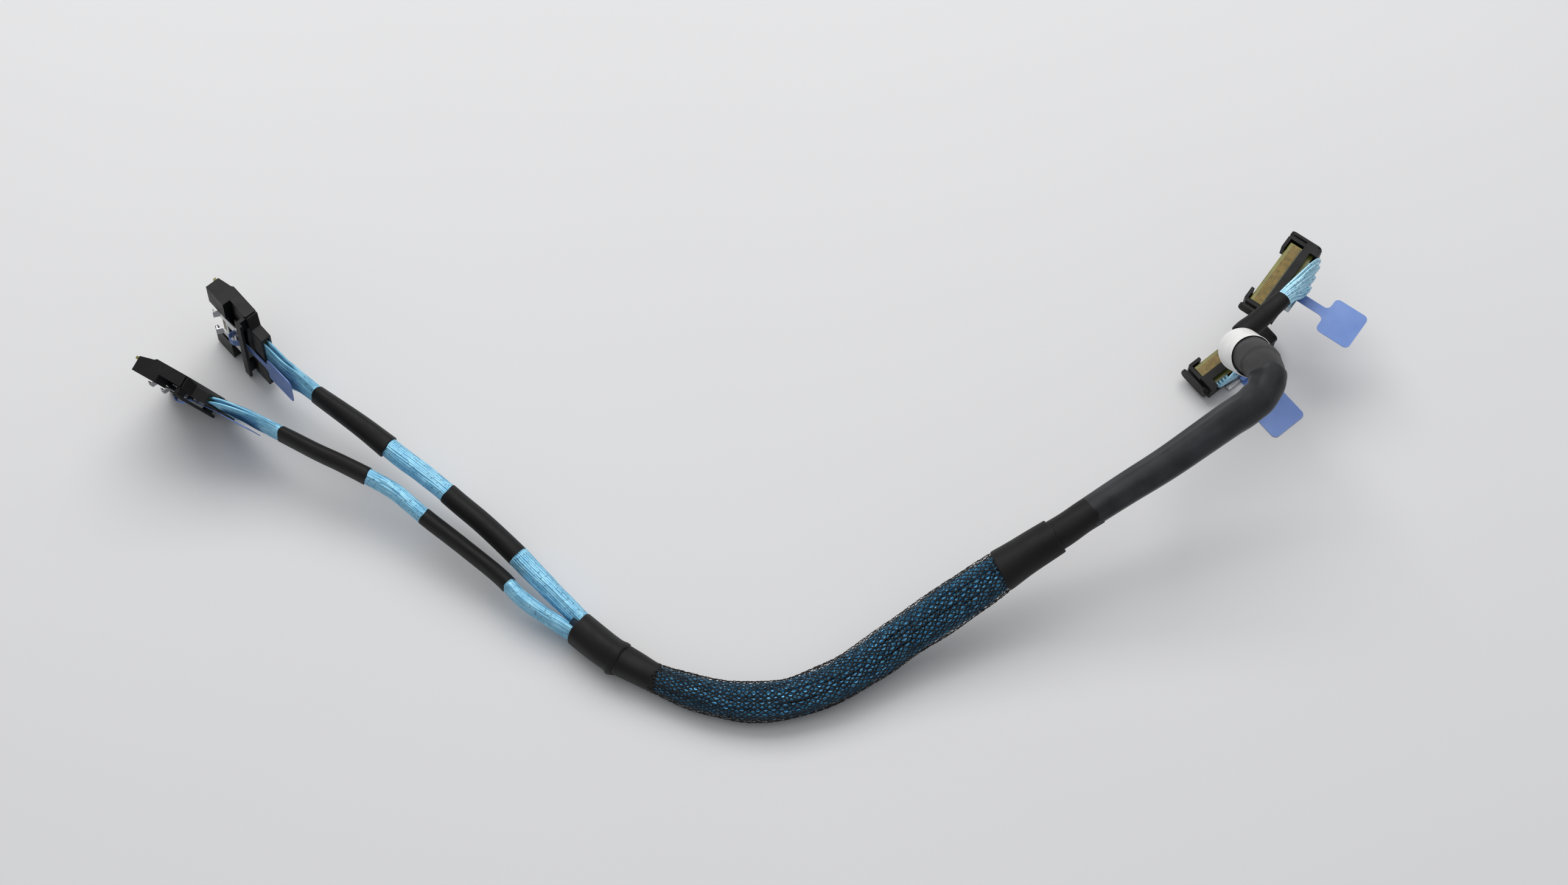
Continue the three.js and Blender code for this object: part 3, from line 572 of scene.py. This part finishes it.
def leg(label, route, plug, marks, sizes):
    """One leg: marks are where its stretches meet, sizes each stretch's width and height at both ends."""
    plug_size, front, middle, rear, split = sizes
    m1, m2, m3, m4, m5 = marks
    wires = (LEG_WIRES, WIRE_WIDTH, WIRE_THICK)
    plug_wires = bundle(route, 0, m1, *plug_size, *wires, 0.16, up0=plug[1] @ UP, rows_at_start=True,
                        start_shift=plug[1] @ np.array([0, HOOD_DROP, 0]))
    parts = [
        piece(f"{label}_plug_wires", plug_wires, WIRE, "blue_wire", f"{label}_wires_plug"),
        sleeve(f"{label}_front_sleeve", route, m1, m2, *front, SHRINK, "heat_shrink",
               [f"{label}_sleeve_front"], bumps=waves(0.16, (2, 0.11, 0.4), (3, -0.17, 2.0), (5, 0.05, 1.0)),
               cut0=ragged(0.18, 3), cut1=ragged(0.15, 4)),
        piece(f"{label}_middle_wires", bundle(route, m2, m3, *middle, *wires, 0.12),
              WIRE, "blue_wire", f"{label}_wires_middle"),
        sleeve(f"{label}_rear_sleeve", route, m3, m4, *rear, SHRINK, "heat_shrink",
               [f"{label}_sleeve_rear"], bumps=waves(0.14, (2, 0.09, 2.4), (3, 0.13, 0.7), (4, -0.06, 1.9)),
               cut0=ragged(0.15, 5), cut1=ragged(0.2, 6)),
        piece(f"{label}_split_wires", bundle(route, m4, m5, *split, *wires, 0.12, reach=(0.8, 4.5)),
              WIRE, "blue_wire", f"{label}_wires_split"),
    ]
    core_sizes = [(0, plug_size[0][0] * 0.5, 9), (m1, front[0][0] * 0.7, front[0][1] * 0.72),
                  (m2, front[1][0] * 0.7, front[1][1] * 0.7), (m3, middle[1][0] * 0.72, middle[1][1] * 0.7),
                  (m4, rear[1][0] * 0.72, rear[1][1] * 0.7), (m5, split[1][0] * 0.66, split[1][1] * 0.7)]
    inside = piece(f"{label}_core", core(route, core_sizes), PAINTED_SHADE_CORE, "blue_wire")
    line = thin_path(route)


leg("leg_a", LEG_A, SLIM_PLUGS[0], (2.85, 5.7, 8.4, 11.4, 14), [
    ([2.1, 25], [4.8, 9]), ([5.0, 9.4], [7.2, 7.6]), ([6.0, 7.0], [6.0, 6.8]), ([6.2, 7.4], [6.6, 7]),
    ([6.6, 7.2], [5.4, 8.8])])
leg("leg_b", LEG_B, SLIM_PLUGS[1], (2.9, 5.8, 8.7, 11.4, 14), [
    ([2.1, 25], [4.0, 8.4]), ([4.2, 8.6], [5.4, 7.2]), ([4.8, 6.6], [4.8, 6.4]), ([5, 6.8], [5, 6.6]),
    ([4.6, 7.0], [4.4, 8.8])])


# Trunk sleeves
def fold_ridge(theta, s, rest):
    """Loose shrink sleeving: a slack oval with one pinched fold on its lower side near the end."""
    slack = waves(0.22, (2, 0.16, 0.3), (3, 0.21, 1.2), (5, -0.12, 2.2))(theta, s, rest)
    turn = np.mod(theta, 2 * math.pi)
    crease = 0.55 * np.exp(-((rest - 1.6) / 0.8) ** 2) * np.exp(-((turn - 3.3) / 0.5) ** 2)
    edge = 0.3 * np.exp(-((rest - 0.9) / 1.1) ** 2)
    return slack + crease + edge


SPLIT_OUTER = sleeve("split_sleeve_outer_skin", TRUNK, 0.22, 2.3, [10.2, 12], [10, 11],
                     SHRINK, "heat_shrink", ["split_sleeve_outer"],
                     bumps=fold_ridge, cut0=ragged(0.25, 7), cut1=ragged(0.5, 8))
SPLIT_INNER = sleeve("split_sleeve_inner_skin", TRUNK, 2.0, 4, [9.6, 10.6], [8.6, 9.4],
                     SHRINK, "heat_shrink", ["split_sleeve_inner"], wall=0.4,
                     bumps=waves(0.18, (2, 0.2, 1.3), (3, 0.3, 0.1), (4, -0.2, 0.5)), cut1=ragged(0.35, 9))

# Braided sleeve: two families of flat filaments wound in opposite directions, over and under each other
BRAID_START = 4
BRAID_END = 13.05
BRAID_PLACES = [0, 0.22, 0.6, 0.86, 1]
BRAID_WIDTHS = [9, 12.2, 12.8, 14, 12.2]
BRAID_FILAMENTS = 25
BRAID_PITCH = 54
FILAMENT_WIDTH = 0.42
FILAMENT_THICK = 0.17
BRAID_OVERLAP = 1.2
WIRE_CLEARANCE = 1.7
BUNDLE_WIDTHS = [w - WIRE_CLEARANCE for w in BRAID_WIDTHS]
BUNDLE_START = (BUNDLE_WIDTHS[0], 8.6)
BUNDLE_END = (BUNDLE_WIDTHS[-1], 9.0)
BUNDLE_WIRES = 24

TRUNK_WIRES = piece("trunk_bundle", bundle(
    TRUNK, BRAID_START, BRAID_END, BUNDLE_START, BUNDLE_END, BUNDLE_WIRES, 1.3, 1.1, 0.24,
    reach=(2.5, 2.5), widths=(BRAID_PLACES, BUNDLE_WIDTHS)), INNER_WIRE_PAINTED_SHADE, "blue_wire", "trunk_wires")


def braid_surface(theta, s):
    """How far the braid sinks between the wires below it, in millimetres."""
    groove = 0.16 * np.sin(9 * theta + 0.05 * s) + 0.12 * np.sin(5 * theta - 0.08 * s + 1)
    return groove + 0.14 * np.sin(0.33 * s + 2 * theta) - 0.1


def braid():
    start, end = TRUNK.mark(BRAID_START), TRUNK.mark(BRAID_END)
    s0 = start - BRAID_OVERLAP
    s = spaced(s0, end + BRAID_OVERLAP, 0.55)
    t = np.clip((s - start) / (end - start), 0, 1)
    width, height = np.interp(t, BRAID_PLACES, BRAID_WIDTHS) - 0.3, lerp(10.4, 10.8, t) - 0.45
    parts = []
    for family in (-1, 1):
        for k in range(BRAID_FILAMENTS):
            theta = 2 * math.pi * (k / BRAID_FILAMENTS + family * (s - s0) / BRAID_PITCH)
            theta = theta + 0.035 * np.sin(s * 0.7 + 1.7 * k)
            crossings = 2 * math.pi * (s - s0) * BRAID_FILAMENTS / BRAID_PITCH
            weave = family * 0.1 * np.cos(crossings + math.pi * k)
            lift = 2 * (braid_surface(theta, s) + weave)
            middle = section(TRUNK, s, theta, width + lift, height + lift)
            outward = unit(middle - TRUNK.interpolate(TRUNK.line, s))
            parts.append(strand(middle, outward, FILAMENT_WIDTH, FILAMENT_THICK, sides=4))
    return parts


BRAID_SLEEVE = piece("braided_mesh", braid(), BRAID, "braid", "braided_sleeve")


def band_shape(theta, s, rest):
    """Wider at its start, over the end of the braid."""
    swollen = 0.35 * np.exp(-(s / 5) ** 2)
    return swollen + waves(0.2, (2, 0.1, 0.2), (3, 0.16, 1.1), (4, -0.11, 2.8))(theta, s, rest)


SHRINK_BAND = sleeve("shrink_band_skin", TRUNK, 12.95, 14.85, [11.8, 11.6], [10.8, 10.8],
                     SHRINK, "heat_shrink", ["shrink_band"],
                     bumps=band_shape, cut0=ragged(0.5, 12), cut1=ragged(0.45, 13))
INNER_TUBE = sleeve("inner_tube_skin", TRUNK, 14.6, 16.2, [9.4, 9.4], [9.2, 9.2], SHRINK, "heat_shrink",
                    ["inner_shrink_tube"], wall=0.3, bumps=waves(0.12, (2, 0.4, 0.2), (3, 0.5, 1.0)),
                    cut1=ragged(0.5, 15))


def facets(theta, s, rest):
    """Lengthwise flats where the tube lies tight on the wires, and a few cross creases inside the elbow."""
    flats = 0.16 * np.sin(5 * theta + 0.02 * s) + 0.1 * np.sin(7 * theta - 0.03 * s + 1)
    flats = flats + 0.1 * np.sin(2 * theta)
    elbow = np.exp(-((rest - 5) / 7) ** 2)
    creases = 0.14 * elbow * np.sin(1.1 * s + 2 * theta)
    cuff = 0.35 * np.exp(-((rest - 0.6) / 0.9) ** 2)
    return flats * (1 - 0.5 * elbow) + creases + cuff


MAIN_TUBE = sleeve("main_tube_skin", TRUNK, 16, 23.4, [8.8, 8.8], [10.6, 10.6], TUBE, "heat_shrink",
                   ["main_tube"], bumps=facets, sides=64, cut0=ragged(0.2, 17), cut1=ragged(0.6, 18))

TAPE_TURN = 7.0


def tape_turns(theta, s, rest):
    """Tape wound in a spiral: each turn starts with a small step on the one below."""
    phase = np.mod(s / TAPE_TURN + theta / (2 * math.pi), 1)
    step = 0.32 * np.where(phase > 0.08, 1 - phase, phase / 0.08)
    wrinkle = waves(0.2, (2, 0.5, 0.4), (3, 0.9, 1.4), (6, 0.7, 0.9))(theta, s, rest)
    return step + wrinkle - 0.1


CLOTH_TAPE = sleeve("cloth_tape_wrap", TRUNK, 23.1, 25.9, [10.4, 10.4], [11.4, 11.4], TAPE, "cloth_tape",
                    ["cloth_tape"], wall=0.35, sides=72, step=0.4, bumps=tape_turns)


def label_overlap(theta, s, rest):
    """Paper wrapped once and a bit: its free edge stands a little proud along one side."""
    turn = np.mod(theta - 5.0, 2 * math.pi) / (2 * math.pi)
    spiral = 0.3 * np.where(turn < 0.02, turn / 0.02, 1 - turn)
    return spiral + waves(0.1, (2, 0.1, 0.7), (3, 0.05, 0.2))(theta, s, rest) - 0.05


WRAP_LABEL = sleeve("wrap_label_paper", TRUNK, 25.5, 28, [12.4, 12.4], [12.9, 12.9], PAPER, "paper_label",
                    ["wrap_label"], wall=0.2, sides=96, bumps=label_overlap)


def label_filling(diameter, sides=32):
    """The dark inside of the label, from the tape to just short of its far end."""
    s = spaced(TRUNK.mark(26), TRUNK.mark(28) - 0.5, 1)[:, None]
    theta = np.linspace(0, 2 * math.pi, sides, endpoint=False)[None, :]
    across = np.full((1, 1), diameter)
    return [tube(section(TRUNK, *np.broadcast_arrays(s, theta), across, across))]


LABEL_FILLING = piece("label_filling", label_filling(11.2), SHRINK, "heat_shrink")

UP_TUBE = sleeve("branch_tube_up_skin", BRANCH_UP, 0, 5, [6.6, 6.4], [5.4, 5.2], SHRINK, "heat_shrink",
                 ["branch_tube_up"], bumps=waves(0.16, (2, 0.3, 0.2), (3, 0.4, 1.1)), cut1=ragged(0.2, 21))
DOWN_TUBE = sleeve("branch_tube_down_skin", BRANCH_DOWN, 0, 5, [5.4, 5.4], [5, 5],
                   SHRINK, "heat_shrink", ["branch_tube_down"],
                   bumps=waves(0.12, (2, 0.3, 1.2), (3, 0.4, 0.1)), cut1=ragged(0.2, 22))


# Ribbons of wires fanning out of the branch tubes into the card plugs, flat faces turned away from a middle
RIBBON_MIDDLE = (0, -2.5, 1.49)


def ribbon(plug, points, wires, width=0.95, thick=0.6):
    """Wires side by side along given points in the plug's own axes, flat face outward."""
    path = Route(points)
    s = spaced(0, path.along[-1], 0.45)
    line = path.interpolate(path.line, s)
    tangent = unit(path.interpolate(path.tangents, s))
    outward = unit(line * [0, 1, 1] - RIBBON_MIDDLE)
    lateral = unit(np.cross(outward, tangent))
    start = RNG.uniform(0, 40)
    parts = []
    for k in range(wires):
        centres = line + lateral * (k - (wires - 1) / 2) * width * 1.02
        parts.append(strand(from_plug(plug, centres), outward @ plug[1].T, width, thick, offset=start))
    return parts


UP_RIBBONS = 7
UP_FIRST = 9.2
UP_SPACING = 1.7
UP_MOUTH = np.array([-8.2, -4.7, 6.9])
DOWN_WIRES = 4
DOWN_FIRST = 9.6
DOWN_SPACING = 1.25
DOWN_MOUTH = (0.9, -5.8, 6.8)
DOWN_SPREAD = 0.9


def upper_fan():
    """Shingled ribbons along the back of the box: the outer ones bulge more and turn down sooner."""
    parts = []
    for k in range(UP_RIBBONS):
        odd = k % 2
        x = UP_FIRST - UP_SPACING * k
        bulge = 0.8 + 0.42 * k + 0.5 * odd
        top = 6.1 - 0.35 * k - 0.6 * odd
        mouth = UP_MOUTH + [0, 1.5 - 0.55 * k, 0.9 * math.sin(math.pi * (k + 0.5) / UP_RIBBONS) - 0.6]
        halfway = lerp(np.array([x - 2.6, -5.0 - 0.8 * bulge, top + 0.4]), mouth, 0.5) + [0, 0, 0.35]
        parts += ribbon(EDGE_PLUGS[0], [
            [x - 1.2, -3.2, 0], [x - 1.0, -4.8, 0.3], [x + 0.1, -5.5 - 0.9 * bulge, 1.7],
            [x - 0.4, -5.3 - bulge, 0.72 * top], [x - 2.6, -5.0 - 0.9 * bulge, top],
            halfway, mouth, mouth - [1.6, 0, 0]], 2)
    return parts


def lower_fan():
    """Two small groups of wires rising from the ends of the box to the mouth of the lower tube."""
    parts = []
    for side in (-1, 1):
        for k in range(DOWN_WIRES):
            x = side * (DOWN_FIRST - DOWN_SPACING * k)
            angle = 1.4 * k + 0.8 * side
            mouth = np.array([DOWN_MOUTH[0] * side, DOWN_MOUTH[1] + DOWN_SPREAD * math.cos(angle),
                              DOWN_MOUTH[2] + DOWN_SPREAD * math.sin(angle)])
            halfway = lerp(np.array([x - 2.2 * side, -5.8, 3.9]), mouth, 0.6)
            parts += ribbon(EDGE_PLUGS[1], [
                [x - 0.3 * side, -3.2, 0], [x, -4.9, 0.5], [x - 0.5 * side, -5.7 - 0.15 * k, 2.2],
                [x - 2.2 * side, -5.8 - 0.15 * k, 3.7 + 0.1 * k],
                halfway, mouth, mouth + [0, 0, 1.6]], 1, 1.05, 0.8)
    return parts


UP_FAN = piece("upper_fan_wires", upper_fan(), FAN_WIRE, "blue_wire",
               "ribbon_up_1", "ribbon_up_2", "ribbon_up_3")
DOWN_FAN = piece("lower_fan_wires", lower_fan(), FAN_WIRE, "blue_wire", "ribbon_down_1", "ribbon_down_2")

TRUNK_CORE_SIZES = [
    (0, 7.0, 7.8), (2, 7.4, 8.0), (4, 5.6, 6.4), (6, 8.0, 6.4), (12, 9.6, 6.4), (13.5, 7.8, 6.8),
    (16, 7.6, 7.6), (22, 8.6, 8.6), (25, 9.4, 9.4), (28, 9.0, 9.0),
]
TRUNK_CORE = piece("trunk_core", core(TRUNK, TRUNK_CORE_SIZES), PAINTED_SHADE_CORE, "blue_wire")
TRUNK_LINE = thin_path(TRUNK)


# Contacts, dark strips and via rims on the card plugs' cards: from and to are distances ahead of the box
PADS = 37
PAD_PITCH = 0.6
PAD_HALF = 0.2
PAD_FROM, PAD_TO = 0.6, 3.35
PAD_FACE, PAD_TOP = 0.45, 0.585
STRIP_HALF = 10.9
STRIP_FROM, STRIP_TO = 0.05, 0.55
STRIP_FACE, STRIP_TOP = 0.48, 0.52
VIA_HALF = 0.1
VIA_FROM, VIA_TO = 0.22, 0.4
VIA_FACE, VIA_TOP = 0.5, 0.54


def pad_place(k):
    return (k - (PADS - 1) / 2) * PAD_PITCH


for number, plug in enumerate(EDGE_PLUGS, 1):
    label = f"edge_plug_{number}"
    pads, vias = [], []
    for k in range(PADS):
        x = pad_place(k)
        for z0, z1 in ((PAD_FACE, PAD_TOP), (-PAD_TOP, -PAD_FACE)):
            pads.append(block(plug, (x - PAD_HALF, PAD_FROM, z0), (x + PAD_HALF, PAD_TO, z1)))
        if k % 3 != 1:
            spot = x + 0.1 * math.sin(2.1 * k)
            vias.append(block(plug, (spot - VIA_HALF, VIA_FROM, VIA_FACE),
                              (spot + VIA_HALF, VIA_TO, VIA_TOP)))
    piece(f"{label}_contacts", pads, GOLD, "card_green", smooth=False)
    strips = [block(plug, (-STRIP_HALF, STRIP_FROM, z0), (STRIP_HALF, STRIP_TO, z1))
              for z0, z1 in ((STRIP_FACE, STRIP_TOP), (-STRIP_TOP, -STRIP_FACE))]
    piece(f"{label}_dark_strip", strips, MASK, "card_green", smooth=False)
    piece(f"{label}_vias", vias, VIA, "card_green", smooth=False)

# Slim plugs: contacts on both faces of the card's front edge
SLIM_WIDTH = 34
CARD_LOW, CARD_HIGH = 3.4, 4.3
SLIM_PAD_HALF = 0.18
SLIM_PAD_FROM, SLIM_PAD_TO = -1.0, 4.5
SLIM_PAD_SUNK, SLIM_PAD_PROUD = 0.06, 0.04

for number, plug in enumerate(SLIM_PLUGS, 1):
    pads = []
    for k in range(PADS):
        z = SLIM_WIDTH / 2 + pad_place(k)
        for y0, y1 in ((CARD_LOW - SLIM_PAD_PROUD, CARD_LOW + SLIM_PAD_SUNK),
                       (CARD_HIGH - SLIM_PAD_SUNK, CARD_HIGH + SLIM_PAD_PROUD)):
            pads.append(block(plug, (SLIM_PAD_FROM, y0, z - SLIM_PAD_HALF),
                              (SLIM_PAD_TO, y1, z + SLIM_PAD_HALF)))
    piece(f"slim_plug_{number}_contacts", pads, GOLD, "card_green", smooth=False)

# Rear hoods of the slim plugs: a short tapered box round the wires' ends, over a card that narrows inside it
BODY_END = 15.5
BODY_LOW, BODY_HIGH = 2.4, 6.3
HOOD_END = 23.6
HOOD_LOW, HOOD_HIGH = 1.75, 5.3
HOOD_WALL = 0.8
HOOD_TAPER = 3
HOOD_LIP = 0.5
CARD_FRONT, CARD_SHOULDER, CARD_BACK = -1.2, 15.4, 22.5
CARD_EDGE, CARD_TAIL_EDGE = 0.9, 4.5


def ring(x, low, high, inset):
    return [[x, low, inset], [x, high, inset], [x, high, SLIM_WIDTH - inset], [x, low, SLIM_WIDTH - inset]]


def hood(plug):
    start = BODY_END + GAP
    taper_end = start + HOOD_TAPER
    low, high, inset = HOOD_LOW + HOOD_WALL, HOOD_HIGH - HOOD_WALL, HOOD_TAPER + HOOD_WALL
    outside = [ring(start, BODY_LOW, BODY_HIGH, 0), ring(start + HOOD_LIP, BODY_LOW, BODY_HIGH, 0),
               ring(taper_end, HOOD_LOW, HOOD_HIGH, HOOD_TAPER),
               ring(HOOD_END, HOOD_LOW, HOOD_HIGH, HOOD_TAPER)]
    inside = [ring(HOOD_END, low, high, inset), ring(taper_end, low, high, inset),
              ring(start, BODY_LOW + HOOD_WALL, BODY_HIGH - HOOD_WALL, HOOD_WALL)]
    return tube(from_plug(plug, np.array(outside + inside)), loop=True)


def slim_card(plug):
    outline = [(CARD_FRONT, CARD_EDGE), (CARD_SHOULDER, CARD_EDGE),
               (CARD_SHOULDER, CARD_TAIL_EDGE), (CARD_BACK, CARD_TAIL_EDGE)]
    outline += [(x, SLIM_WIDTH - z) for x, z in outline[::-1]]
    return tube(from_plug(plug, [[[x, y, z] for x, z in outline] for y in (CARD_LOW, CARD_HIGH)]))


def soften(thing, width):
    """Rounds a piece's sharp edges by that width in millimetres."""
    rounding = thing.modifiers.new("rounding", "BEVEL")
    rounding.width = width * MM
    rounding.segments = 2
    rounding.limit_method = "ANGLE"
    rounding.angle_limit = math.radians(35)


for number, plug in enumerate(SLIM_PLUGS, 1):
    label = f"slim_plug_{number}"
    soften(piece(f"{label}_hood", [hood(plug)], PLASTIC, "black_plastic",
                 f"{label}_rear_cover", smooth=False), 0.25)
    soften(piece(f"{label}_card", [slim_card(plug)], CARD, "card_green",
                 f"{label}_paddle_card", smooth=False), 0.05)

# Finishes and softened edges of the CAD nodes that stay
NODE_FINISHES = (("housing", PLASTIC, 0.16), ("rear_cover", PLASTIC, 0.14), ("paddle_card", CARD, 0.05),
                 ("latch_spring", STEEL, 0.07), ("pull_tab", FILM, 0))
for name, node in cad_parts.items():
    for ending, finish, bevel in NODE_FINISHES:
        if name.endswith(ending):
            node.data.materials.clear()
            node.data.materials.append(finish)
            if bevel:
                soften(node, bevel)

# Floor, light and background
bpy.ops.mesh.primitive_plane_add(size=6, location=(0, 0, 0))
floor = bpy.context.object
floor.name = "floor"
floor.data.materials.append(FLOOR)


WARM = (1.0, 0.985, 0.965)
SKY = (0.965, 0.975, 1.0, 1)
SKY_STRENGTH = 0.28


def area_light(name, place, width, height, power):
    """A soft panel that faces the origin."""
    data = bpy.data.lights.new(name, "AREA")
    data.shape = "RECTANGLE"
    data.size, data.size_y, data.energy, data.color = width, height, power, WARM
    light = bpy.data.objects.new(name, data)
    bpy.context.scene.collection.objects.link(light)
    light.location = place
    way = -np.array(place)
    light.rotation_euler = (math.atan2(math.hypot(way[0], way[1]), -way[2]), 0,
                            math.atan2(way[1], way[0]) - math.pi / 2)


area_light("back_softbox", (-0.05, 0.6, 0.85), width=1.2, height=0.6, power=7.6)
area_light("top_softbox", (0.0, 0.1, 1.3), width=1.6, height=1.0, power=4.4)

world = bpy.data.worlds.new("studio")
world.use_nodes = True
background = world.node_tree.nodes["Background"]
background.inputs["Color"].default_value = SKY
background.inputs["Strength"].default_value = SKY_STRENGTH
bpy.context.scene.world = world
bpy.context.scene.view_settings.view_transform = "Standard"
